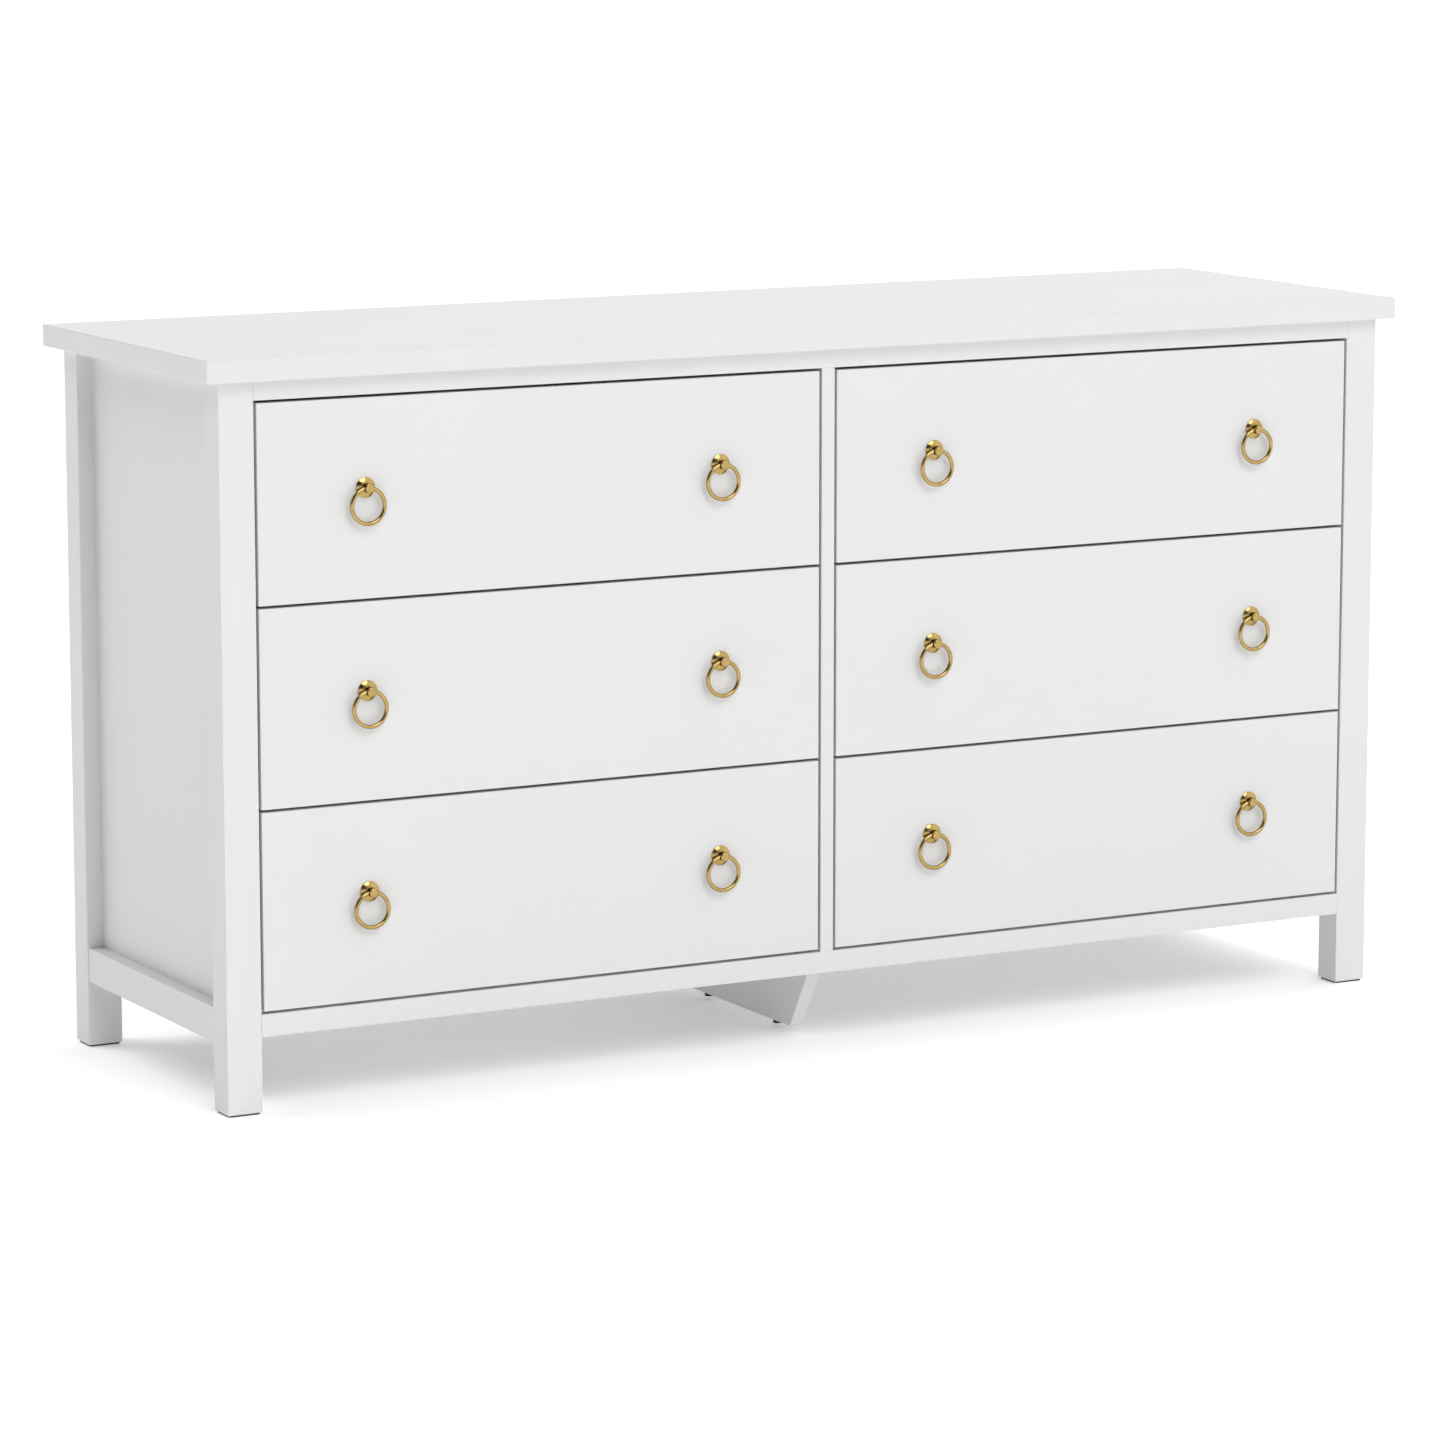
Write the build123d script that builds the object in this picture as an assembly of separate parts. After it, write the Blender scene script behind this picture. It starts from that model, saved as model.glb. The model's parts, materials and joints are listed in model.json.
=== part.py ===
from build123d import *
import math
import os

# A low, wide dresser: a flat top on four full-height posts, recessed side panels, and six inset
# drawers in two columns of three. Each drawer slides on a pair of side runners and carries two
# loose ring pulls. Millimetres; +Z up, +X to the right, -Y to the front.
# The origin is on the floor, under the centre of the top.

os.makedirs("parts", exist_ok=True)

# ---- Overall sizes ----
TOP_WIDTH = 1480.0
TOP_DEPTH = 448.0
OVERALL_HEIGHT = 800.0
TOP_THICKNESS = 24.0
TOP_EDGE_RADIUS = 1.2

# ---- How far the top stands out beyond the posts ----
SIDE_OVERHANG = 18.0
FRONT_OVERHANG = 13.0
BACK_OVERHANG = 16.0

# ---- Posts and their glides ----
POST_WIDTH = 40.0
POST_DEPTH = 36.0
POST_EDGE_RADIUS = 1.0
POST_GLIDE_INSET = 2.0
POST_GLIDE_CORNER = 3.0
POST_GLIDE_HEIGHT = 2.0

# ---- Side frames ----
PANEL_RECESS = 18.0
PANEL_THICKNESS = 16.0
SIDE_RAIL_BOTTOM = 74.0
SIDE_RAIL_HEIGHT = 38.0
SIDE_RAIL_RECESS = 1.5

# ---- Front and back rails, divider and back ----
RAIL_THICKNESS = 18.0
TOP_RAIL_HEIGHT = 21.0
BOTTOM_RAIL_BOTTOM = 83.0
BOTTOM_RAIL_HEIGHT = 24.0
DIVIDER_THICKNESS = 16.0
BOARD_EDGE_RADIUS = 0.6
BACK_PANEL_THICKNESS = 3.0

# ---- Centre support: a board on edge, its ends sloping in towards the floor ----
SUPPORT_THICKNESS = 16.0
SUPPORT_FRONT_SETBACK = 26.0
SUPPORT_REAR_SETBACK = 59.0
SUPPORT_SLOPE = 43.0
SUPPORT_FOOT_HEIGHT = 9.5
SUPPORT_GLIDE_RADIUS = 5.0
SUPPORT_GLIDE_HEIGHT = 5.0
SUPPORT_GLIDE_INSET = 43.0

# ---- Drawer rows and fronts ----
ROWS = ["top", "middle", "bottom"]
DRAWER_ROWS = len(ROWS)
DRAWER_GAP = 3.0
FRONT_THICKNESS = 18.0
FRONT_EDGE_RADIUS = 0.8

# ---- Drawer boxes ----
BOX_WALL = 12.0
BOX_RISE = 20.0
BOX_HEAD_ROOM = 32.0
BOX_REAR_ROOM = 18.0
BOTTOM_THICKNESS = 4.0
BOTTOM_RISE = 12.0
GROOVE_DEPTH = 6.0
GROOVE_CLEARANCE = 0.2

# ---- Runners: a channel on the cabinet, and a smaller one inside it on the drawer ----
RUNNER_SPACE = 13.0
RUNNER_HEIGHT = 36.0
RUNNER_GAUGE = 1.2
RUNNER_TIP_GAP = 3.0
RUNNER_CLEARANCE = 0.4
RUNNER_FRONT_GAP = 2.0
RUNNER_REAR_ROOM = 18.0

# ---- Ring pulls ----
PULL_SPACING = 422.0
PULL_RISE = 11.5
ROSETTE_RADIUS = 11.0
ROSETTE_EDGE = 1.0
ROSETTE_DOME = 3.2
STUB_RADIUS = 5.0
STUB_REACH = 12.0
STUB_END_RADIUS = 1.0
RING_STANDOFF = 7.2
RING_RADIUS = 18.8
RING_WIRE_RADIUS = 2.2
EYE_CLEARANCE = 0.35
SHANK_RADIUS = 2.0
SHANK_CLEARANCE = 0.25
NUT_WIDTH = 7.0
NUT_HEIGHT = 3.2
SHANK_END = 1.0

# ---- Fixings ----
PIN_RADIUS = 4.0
PIN_LENGTH = 24.0
PANEL_PIN_MARGIN = 60.0
SCREW_HEAD_RADIUS = 3.6
SCREW_HEAD_HEIGHT = 1.6
SCREW_RADIUS = 1.6
SCREW_LENGTH = 14.0
SCREW_SPACING = 160.0

# ---- A bore's cutter is this many times as long as what it goes through ----
CUTTER_OVERRUN = 4.0

# ---- Places that follow from the sizes ----
CARCASS_HALF = TOP_WIDTH / 2 - SIDE_OVERHANG
FRONT_Y = -TOP_DEPTH / 2 + FRONT_OVERHANG
REAR_Y = TOP_DEPTH / 2 - BACK_OVERHANG
TOP_UNDERSIDE = OVERALL_HEIGHT - TOP_THICKNESS
POST_INNER = CARCASS_HALF - POST_WIDTH
FRONT_POST_BACK = FRONT_Y + POST_DEPTH
REAR_POST_FRONT = REAR_Y - POST_DEPTH
RAIL_FRONT_BACK = FRONT_Y + RAIL_THICKNESS
BACK_PANEL_FRONT = REAR_Y - BACK_PANEL_THICKNESS
REAR_RAIL_FRONT = BACK_PANEL_FRONT - RAIL_THICKNESS
BOTTOM_RAIL_TOP = BOTTOM_RAIL_BOTTOM + BOTTOM_RAIL_HEIGHT
TOP_RAIL_BOTTOM = TOP_UNDERSIDE - TOP_RAIL_HEIGHT
SIDE_RAIL_TOP = SIDE_RAIL_BOTTOM + SIDE_RAIL_HEIGHT
PANEL_OUTER = CARCASS_HALF - PANEL_RECESS
PANEL_INNER = PANEL_OUTER - PANEL_THICKNESS
PANEL_MIDDLE = (PANEL_OUTER + PANEL_INNER) / 2
SIDE_RAIL_OUTER = CARCASS_HALF - SIDE_RAIL_RECESS
DIVIDER_HALF = DIVIDER_THICKNESS / 2
SUPPORT_FRONT = FRONT_Y + SUPPORT_FRONT_SETBACK
SUPPORT_REAR = REAR_Y - SUPPORT_REAR_SETBACK

BAY_WIDTH = POST_INNER - DIVIDER_HALF
BAY_CENTRE = (POST_INNER + DIVIDER_HALF) / 2
FRONT_WIDTH = BAY_WIDTH - 2 * DRAWER_GAP
FRONT_HEIGHT = (TOP_RAIL_BOTTOM - BOTTOM_RAIL_TOP - (DRAWER_ROWS + 1) * DRAWER_GAP) / DRAWER_ROWS
FRONT_BACK = FRONT_Y + FRONT_THICKNESS
BOX_HALF = BAY_WIDTH / 2 - RUNNER_SPACE
BOX_REAR = BACK_PANEL_FRONT - BOX_REAR_ROOM
BOX_HEIGHT = FRONT_HEIGHT - BOX_RISE - BOX_HEAD_ROOM
RUNNER_DEPTH = RUNNER_SPACE - RUNNER_TIP_GAP
RUNNER_FRONT = FRONT_BACK + RUNNER_FRONT_GAP
RUNNER_REAR = BACK_PANEL_FRONT - RUNNER_REAR_ROOM
PULL_Y = FRONT_Y - RING_STANDOFF

SIDES = {"left": -1, "right": 1}


def block(x0, x1, y0, y1, z0, z1):
    """A box between two values on each axis, given in either order."""
    centre = Location(((x0 + x1) / 2, (y0 + y1) / 2, (z0 + z1) / 2))
    return centre * Box(abs(x1 - x0), abs(y1 - y0), abs(z1 - z0))


def eased(solid, radius):
    """The solid with all its edges rounded a little, as sanding leaves them."""
    return fillet(solid.edges(), radius)


def rod(centre, axis, radius, length):
    """A round bar, centred on a point, along X, Y or Z."""
    turn = {"X": Rotation(0, 90, 0), "Y": Rotation(90, 0, 0), "Z": Rotation(0, 0, 0)}[axis]
    return Location(centre) * turn * Cylinder(radius, length)


def row_bottom(row):
    """The lower edge of a row's drawer fronts; row 0 is the top row."""
    rows_below = DRAWER_ROWS - 1 - row
    return BOTTOM_RAIL_TOP + DRAWER_GAP + rows_below * (FRONT_HEIGHT + DRAWER_GAP)


def runner_centre(row):
    """The height of a runner's middle: halfway up the drawer box."""
    return row_bottom(row) + BOX_RISE + BOX_HEIGHT / 2


# ---- Carcass ----
def top_panel():
    return eased(block(-TOP_WIDTH / 2, TOP_WIDTH / 2, -TOP_DEPTH / 2, TOP_DEPTH / 2,
                       TOP_UNDERSIDE, OVERALL_HEIGHT), TOP_EDGE_RADIUS)


def post(side, y0, y1):
    """One full-height leg; its top stays sharp under the top, its foot and long edges are eased."""
    solid = block(side * CARCASS_HALF, side * POST_INNER, y0, y1, POST_GLIDE_HEIGHT, TOP_UNDERSIDE)
    upright = solid.edges().filter_by(Axis.Z)
    foot = solid.edges().group_by(Axis.Z)[0]
    return fillet(upright + foot, POST_EDGE_RADIUS)


def side_panel(side):
    return block(side * PANEL_OUTER, side * PANEL_INNER, FRONT_POST_BACK, REAR_POST_FRONT,
                 SIDE_RAIL_TOP, TOP_UNDERSIDE)


def side_rail(side):
    """The lower rail, flush with the panel inside and nearly flush with the posts outside."""
    solid = block(side * SIDE_RAIL_OUTER, side * PANEL_INNER, FRONT_POST_BACK, REAR_POST_FRONT,
                  SIDE_RAIL_BOTTOM, SIDE_RAIL_TOP)
    return fillet(solid.edges().filter_by(Axis.Y), BOARD_EDGE_RADIUS)


def cross_rail(y0, y1, z0, z1):
    """A rail from post to post; its long edges are eased."""
    solid = block(-POST_INNER, POST_INNER, y0, y1, z0, z1)
    return fillet(solid.edges().filter_by(Axis.X), BOARD_EDGE_RADIUS)


def divider():
    """The upright between the two columns of drawers, notched round the two top rails."""
    solid = block(-DIVIDER_HALF, DIVIDER_HALF, FRONT_Y, BACK_PANEL_FRONT,
                  BOTTOM_RAIL_TOP, TOP_UNDERSIDE)
    front_notch = block(-DIVIDER_THICKNESS, DIVIDER_THICKNESS, FRONT_Y, RAIL_FRONT_BACK,
                        TOP_RAIL_BOTTOM, TOP_UNDERSIDE)
    rear_notch = block(-DIVIDER_THICKNESS, DIVIDER_THICKNESS, REAR_RAIL_FRONT, BACK_PANEL_FRONT,
                       TOP_RAIL_BOTTOM, TOP_UNDERSIDE)
    solid = solid - front_notch - rear_notch
    front_edges = solid.edges().filter_by(Axis.Z).group_by(Axis.Y)[0]
    return fillet(front_edges, BOARD_EDGE_RADIUS)


def back_panel():
    return block(-POST_INNER, POST_INNER, BACK_PANEL_FRONT, REAR_Y, BOTTOM_RAIL_BOTTOM,
                 TOP_UNDERSIDE)


def centre_support():
    """A board on edge under the divider. Below the bottom rail its two ends slope inwards."""
    outline = Polyline(
        (SUPPORT_FRONT, BOTTOM_RAIL_TOP),
        (SUPPORT_FRONT, BOTTOM_RAIL_BOTTOM),
        (SUPPORT_FRONT + SUPPORT_SLOPE, SUPPORT_FOOT_HEIGHT),
        (SUPPORT_REAR - SUPPORT_SLOPE, SUPPORT_FOOT_HEIGHT),
        (SUPPORT_REAR, BOTTOM_RAIL_BOTTOM),
        (SUPPORT_REAR, BOTTOM_RAIL_TOP),
        close=True,
    )
    profile = make_face(Plane.YZ * outline)
    return extrude(profile, amount=SUPPORT_THICKNESS / 2, both=True)


def support_glide_places():
    """Where the two glides stand under the centre support, as y values."""
    inset = SUPPORT_SLOPE + SUPPORT_GLIDE_INSET
    return [SUPPORT_FRONT + inset, SUPPORT_REAR - inset]


def post_glide(side, y0, y1):
    """A flat plate under a post, a little smaller than the post all round."""
    solid = block(side * (CARCASS_HALF - POST_GLIDE_INSET), side * (POST_INNER + POST_GLIDE_INSET),
                  y0 + POST_GLIDE_INSET, y1 - POST_GLIDE_INSET, 0, POST_GLIDE_HEIGHT)
    return fillet(solid.edges().filter_by(Axis.Z), POST_GLIDE_CORNER)


def glides():
    """A flat glide under each post, and two short round ones under the centre support."""
    solids = []
    for side in SIDES.values():
        solids.append(post_glide(side, FRONT_Y, FRONT_POST_BACK))
        solids.append(post_glide(side, REAR_POST_FRONT, REAR_Y))
    for y in support_glide_places():
        z = SUPPORT_FOOT_HEIGHT - SUPPORT_GLIDE_HEIGHT / 2
        solids.append(rod((0, y, z), "Z", SUPPORT_GLIDE_RADIUS, SUPPORT_GLIDE_HEIGHT))
    return solids


# ---- Runners ----
def channel(web_x, flange_x, y0, y1, z, height):
    """A steel channel along Y: a web at web_x, and two flanges that reach to flange_x."""
    inward = math.copysign(RUNNER_GAUGE, flange_x - web_x)
    inner_half = height / 2 - RUNNER_GAUGE
    body = block(web_x, flange_x, y0, y1, z - height / 2, z + height / 2)
    hollow = block(web_x + inward, flange_x + inward, y0 - RUNNER_GAUGE, y1 + RUNNER_GAUGE,
                   z - inner_half, z + inner_half)
    return body - hollow


def bay_walls(side):
    """A bay's two mounting faces, as pairs of x and the direction into the bay."""
    return [(side * POST_INNER, -side), (side * DIVIDER_HALF, side)]


def cabinet_runners():
    """Two channels for each drawer, one on the posts' inner faces and one on the divider."""
    solids = []
    for side in SIDES.values():
        for row in range(DRAWER_ROWS):
            for wall, inward in bay_walls(side):
                solids.append(channel(wall, wall + inward * RUNNER_DEPTH, RUNNER_FRONT, RUNNER_REAR,
                                      runner_centre(row), RUNNER_HEIGHT))
    return solids


def drawer_runners(side, row):
    """The two channels on a drawer's sides. They run inside the cabinet's channels."""
    height = RUNNER_HEIGHT - 2 * RUNNER_GAUGE - 2 * RUNNER_CLEARANCE
    solids = []
    for wall, inward in bay_walls(side):
        box_face = wall + inward * RUNNER_SPACE
        solids.append(channel(box_face, box_face - inward * RUNNER_DEPTH, RUNNER_FRONT,
                              RUNNER_REAR, runner_centre(row), height))
    return solids


# ---- Drawers ----
def pull_places(side):
    """The x of a drawer's two ring pulls."""
    centre = side * BAY_CENTRE
    return {"left": centre - PULL_SPACING / 2, "right": centre + PULL_SPACING / 2}


def pull_height(row):
    return row_bottom(row) + FRONT_HEIGHT / 2 + PULL_RISE


def bottom_level(row):
    """The underside of a drawer's bottom."""
    return row_bottom(row) + BOX_RISE + BOTTOM_RISE


def groove(side, row):
    """The slot round the inside of a drawer, cut a little thicker than the bottom it holds."""
    centre = side * BAY_CENTRE
    reach = BOX_HALF - BOX_WALL + GROOVE_DEPTH
    level = bottom_level(row)
    return block(centre - reach, centre + reach, FRONT_BACK - GROOVE_DEPTH,
                 BOX_REAR - BOX_WALL + GROOVE_DEPTH, level - GROOVE_CLEARANCE,
                 level + BOTTOM_THICKNESS + GROOVE_CLEARANCE)


def drawer_front(side, row):
    """A flat slab that lies flush in its opening, drilled for the shanks of its two pulls."""
    centre = side * BAY_CENTRE
    z0 = row_bottom(row)
    solid = eased(block(centre - FRONT_WIDTH / 2, centre + FRONT_WIDTH / 2, FRONT_Y, FRONT_BACK,
                        z0, z0 + FRONT_HEIGHT), FRONT_EDGE_RADIUS)
    for x in pull_places(side).values():
        solid -= rod((x, FRONT_Y + FRONT_THICKNESS / 2, pull_height(row)), "Y",
                     SHANK_RADIUS + SHANK_CLEARANCE, CUTTER_OVERRUN * FRONT_THICKNESS)
    return solid - groove(side, row)


def drawer_box(side, row):
    """The two sides of a drawer and the back between them."""
    centre = side * BAY_CENTRE
    z0 = row_bottom(row) + BOX_RISE
    z1 = z0 + BOX_HEIGHT
    inner = BOX_HALF - BOX_WALL
    slot = groove(side, row)
    solids = []
    for hand in SIDES.values():
        solids.append(block(centre + hand * BOX_HALF, centre + hand * inner, FRONT_BACK,
                            BOX_REAR, z0, z1) - slot)
    solids.append(block(centre - inner, centre + inner, BOX_REAR - BOX_WALL, BOX_REAR, z0, z1)
                  - slot)
    return solids


def drawer_bottom(side, row):
    """The sheet that lies in the groove, a little short of the groove's ends."""
    centre = side * BAY_CENTRE
    reach = BOX_HALF - BOX_WALL + GROOVE_DEPTH - GROOVE_CLEARANCE
    level = bottom_level(row)
    return block(centre - reach, centre + reach, FRONT_BACK - GROOVE_DEPTH + GROOVE_CLEARANCE,
                 BOX_REAR - BOX_WALL + GROOVE_DEPTH - GROOVE_CLEARANCE, level,
                 level + BOTTOM_THICKNESS)


# ---- Ring pulls ----
def rosette():
    """A domed washer against the drawer front, centred on the Y axis, with its back at y = 0."""
    sphere_radius = (ROSETTE_RADIUS ** 2 + ROSETTE_DOME ** 2) / (2 * ROSETTE_DOME)
    sphere = Pos(0, sphere_radius - ROSETTE_EDGE - ROSETTE_DOME, 0) * Sphere(sphere_radius)
    height = ROSETTE_EDGE + ROSETTE_DOME
    disc = rod((0, -height / 2, 0), "Y", ROSETTE_RADIUS, height)
    return (disc & sphere) - rod((0, 0, 0), "Y", STUB_RADIUS, CUTTER_OVERRUN * height)


def stub():
    """The round eye post: it holds the ring in a cross hole, and its shank goes through the front."""
    body = rod((0, -STUB_REACH / 2, 0), "Y", STUB_RADIUS, STUB_REACH)
    body = fillet(body.edges().group_by(Axis.Y)[0], STUB_END_RADIUS)
    shank_length = FRONT_THICKNESS + NUT_HEIGHT + SHANK_END
    body += rod((0, shank_length / 2, 0), "Y", SHANK_RADIUS, shank_length)
    sag = RING_RADIUS - math.sqrt(RING_RADIUS ** 2 - STUB_RADIUS ** 2)
    eye_radius = RING_WIRE_RADIUS + sag + EYE_CLEARANCE
    return body - rod((0, -RING_STANDOFF, 0), "X", eye_radius, CUTTER_OVERRUN * STUB_RADIUS)


def nut():
    """The hexagon nut on the shank, against the inside of the drawer front."""
    hexagon = RegularPolygon(NUT_WIDTH / 2, 6, major_radius=False)
    prism = Rotation(90, 0, 0) * extrude(hexagon, amount=-NUT_HEIGHT)
    bore = rod((0, 0, 0), "Y", SHANK_RADIUS, CUTTER_OVERRUN * NUT_HEIGHT)
    return Pos(0, FRONT_THICKNESS, 0) * (prism - bore)


def drawer_pulls(side, row):
    """The fixed pieces of a drawer's two pulls."""
    solids = []
    for x in pull_places(side).values():
        place = Pos(x, FRONT_Y, pull_height(row))
        solids += [place * rosette(), place * stub(), place * nut()]
    return solids


def pull_ring(side, row, hand):
    """A round ring hanging from its eye; the wire's top passes through the eye's centre."""
    x = pull_places(side)[hand]
    centre = Location((x, PULL_Y, pull_height(row) - RING_RADIUS), (90, 0, 0))
    return centre * Torus(RING_RADIUS, RING_WIRE_RADIUS)


# ---- Fixings ----
def spread(low, high, margin, count):
    """Evenly spaced values between two ends, the first and last a margin inside them."""
    step = (high - low - 2 * margin) / (count - 1)
    return [low + margin + step * i for i in range(count)]


def joint_pins():
    """Every joint pin, as (centre on the joint face, axis, the two nodes that it joins)."""
    pins = []
    front_rail_y = FRONT_Y + RAIL_THICKNESS / 2
    rear_rail_y = REAR_RAIL_FRONT + RAIL_THICKNESS / 2
    top_rail_z = TOP_RAIL_BOTTOM + TOP_RAIL_HEIGHT / 2
    bottom_rail_z = BOTTOM_RAIL_BOTTOM + BOTTOM_RAIL_HEIGHT / 2
    side_rail_z = SIDE_RAIL_BOTTOM + SIDE_RAIL_HEIGHT / 2
    side_rail_x = (SIDE_RAIL_OUTER + PANEL_INNER) / 2
    for name, side in SIDES.items():
        front_post = "post_front_" + name
        rear_post = "post_rear_" + name
        panel = "side_panel_" + name
        rail = "side_rail_" + name
        inner = side * POST_INNER
        pins.append(((inner, front_rail_y, top_rail_z), "X", [front_post, "front_top_rail"]))
        pins.append(((inner, front_rail_y, bottom_rail_z), "X", [front_post, "front_bottom_rail"]))
        pins.append(((inner, rear_rail_y, top_rail_z), "X", [rear_post, "rear_rails"]))
        pins.append(((inner, rear_rail_y, bottom_rail_z), "X", [rear_post, "rear_rails"]))
        post_x = side * (CARCASS_HALF - POST_WIDTH / 2)
        for y, post_name in ((FRONT_Y + POST_DEPTH / 2, front_post),
                             (REAR_Y - POST_DEPTH / 2, rear_post)):
            pins.append(((post_x, y, TOP_UNDERSIDE), "Z", [post_name, "top_panel"]))
        for y, post_name in ((FRONT_POST_BACK, front_post), (REAR_POST_FRONT, rear_post)):
            pins.append(((side * side_rail_x, y, side_rail_z), "Y", [post_name, rail]))
            for z in spread(SIDE_RAIL_TOP, TOP_UNDERSIDE, PANEL_PIN_MARGIN, 3):
                pins.append(((side * PANEL_MIDDLE, y, z), "Y", [post_name, panel]))
        for y in spread(FRONT_POST_BACK, REAR_POST_FRONT, PANEL_PIN_MARGIN, 2):
            pins.append(((side * PANEL_MIDDLE, y, SIDE_RAIL_TOP), "Z", [rail, panel]))
            pins.append(((side * PANEL_MIDDLE, y, TOP_UNDERSIDE), "Z", [panel, "top_panel"]))
    for y, rail in ((front_rail_y, "front_bottom_rail"), (rear_rail_y, "rear_rails")):
        pins.append(((0, y, BOTTOM_RAIL_TOP), "Z", [rail, "centre_divider"]))
    for y in support_glide_places():
        pins.append(((0, y, BOTTOM_RAIL_TOP), "Z", ["centre_support", "centre_divider"]))
        pins.append(((0, y, TOP_UNDERSIDE), "Z", ["centre_divider", "top_panel"]))
    return pins


def back_screw_places():
    """Where screws hold the back panel to the rear rails and to the divider, as (x, z)."""
    top_rail_z = TOP_RAIL_BOTTOM + TOP_RAIL_HEIGHT / 2
    bottom_rail_z = BOTTOM_RAIL_BOTTOM + BOTTOM_RAIL_HEIGHT / 2
    half_count = round(POST_INNER / SCREW_SPACING)
    places = []
    for i in range(half_count):
        x = SCREW_SPACING * (i + 0.5)
        for z in (bottom_rail_z, top_rail_z):
            places += [(-x, z), (x, z)]
    up_count = round((TOP_RAIL_BOTTOM - BOTTOM_RAIL_TOP) / SCREW_SPACING)
    return places + [(0, z) for z in spread(BOTTOM_RAIL_TOP, TOP_RAIL_BOTTOM, SCREW_SPACING / 2,
                                            up_count)]


def back_screw(x, z):
    """A pan-head screw driven forwards through the back panel."""
    shank = rod((x, REAR_Y - SCREW_LENGTH / 2, z), "Y", SCREW_RADIUS, SCREW_LENGTH)
    head = rod((x, REAR_Y + SCREW_HEAD_HEIGHT / 2, z), "Y", SCREW_HEAD_RADIUS, SCREW_HEAD_HEIGHT)
    head = fillet(head.edges().group_by(Axis.Y)[-1], SCREW_HEAD_HEIGHT / 2)
    return shank + head


def fixings(nodes):
    """Drills the joined boards for their pins and screws, and returns the pins and screws."""
    solids = []
    cuts = {name: [] for name in nodes}
    for centre, axis, joined in joint_pins():
        pin = rod(centre, axis, PIN_RADIUS, PIN_LENGTH)
        solids.append(pin)
        for name in joined:
            cuts[name].append(pin)
    for x, z in back_screw_places():
        screw = back_screw(x, z)
        solids.append(screw)
        behind = "centre_divider" if x == 0 else "rear_rails"
        for name in ("back_panel", behind):
            cuts[name].append(screw)
    for name, cutters in cuts.items():
        if cutters:
            nodes[name] = [solid.cut(*cutters) for solid in nodes[name]]
    return solids


# ---- The whole dresser, as lists of solids by node name ----
def build():
    nodes = {"top_panel": [top_panel()]}
    for name, side in SIDES.items():
        nodes["post_front_" + name] = [post(side, FRONT_Y, FRONT_POST_BACK)]
        nodes["post_rear_" + name] = [post(side, REAR_POST_FRONT, REAR_Y)]
        nodes["side_panel_" + name] = [side_panel(side)]
        nodes["side_rail_" + name] = [side_rail(side)]
    nodes["front_top_rail"] = [cross_rail(FRONT_Y, RAIL_FRONT_BACK, TOP_RAIL_BOTTOM, TOP_UNDERSIDE)]
    nodes["front_bottom_rail"] = [cross_rail(FRONT_Y, RAIL_FRONT_BACK, BOTTOM_RAIL_BOTTOM,
                                             BOTTOM_RAIL_TOP)]
    nodes["rear_rails"] = [
        cross_rail(REAR_RAIL_FRONT, BACK_PANEL_FRONT, TOP_RAIL_BOTTOM, TOP_UNDERSIDE),
        cross_rail(REAR_RAIL_FRONT, BACK_PANEL_FRONT, BOTTOM_RAIL_BOTTOM, BOTTOM_RAIL_TOP),
    ]
    nodes["centre_divider"] = [divider()]
    nodes["back_panel"] = [back_panel()]
    nodes["centre_support"] = [centre_support()]
    nodes["fixings"] = fixings(nodes)
    nodes["glides"] = glides()
    nodes["cabinet_runners"] = cabinet_runners()
    for side_name, side in SIDES.items():
        for row, row_name in enumerate(ROWS):
            drawer = row_name + "_" + side_name + "_drawer"
            nodes[drawer + "_front"] = [drawer_front(side, row)]
            nodes[drawer + "_box"] = drawer_box(side, row)
            nodes[drawer + "_bottom"] = [drawer_bottom(side, row)]
            nodes[drawer + "_runners"] = drawer_runners(side, row)
            nodes[drawer + "_pulls"] = drawer_pulls(side, row)
            for hand in SIDES:
                nodes[drawer + "_ring_" + hand] = [pull_ring(side, row, hand)]
    return nodes


for node_name, node_solids in build().items():
    flat = [solid for piece in node_solids for solid in piece.solids()]
    shape = flat[0] if len(flat) == 1 else Compound(children=flat)
    export_step(shape, "parts/" + node_name + ".step")
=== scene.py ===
# %% [markdown]
# # A white dresser with brass ring pulls
# This lesson finishes a CAD model of a dresser in Blender. The CAD part already has the right
# shape and size, so the work here is its materials, the small hardware that is too fine for the
# CAD model, and a plain studio set. We load the CAD frame first, and take every place and size
# from it, so that nothing has to be fitted by eye.

# %% Load the CAD frame
import json
import math

import bmesh
import bpy
from mathutils import Matrix, Vector

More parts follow.
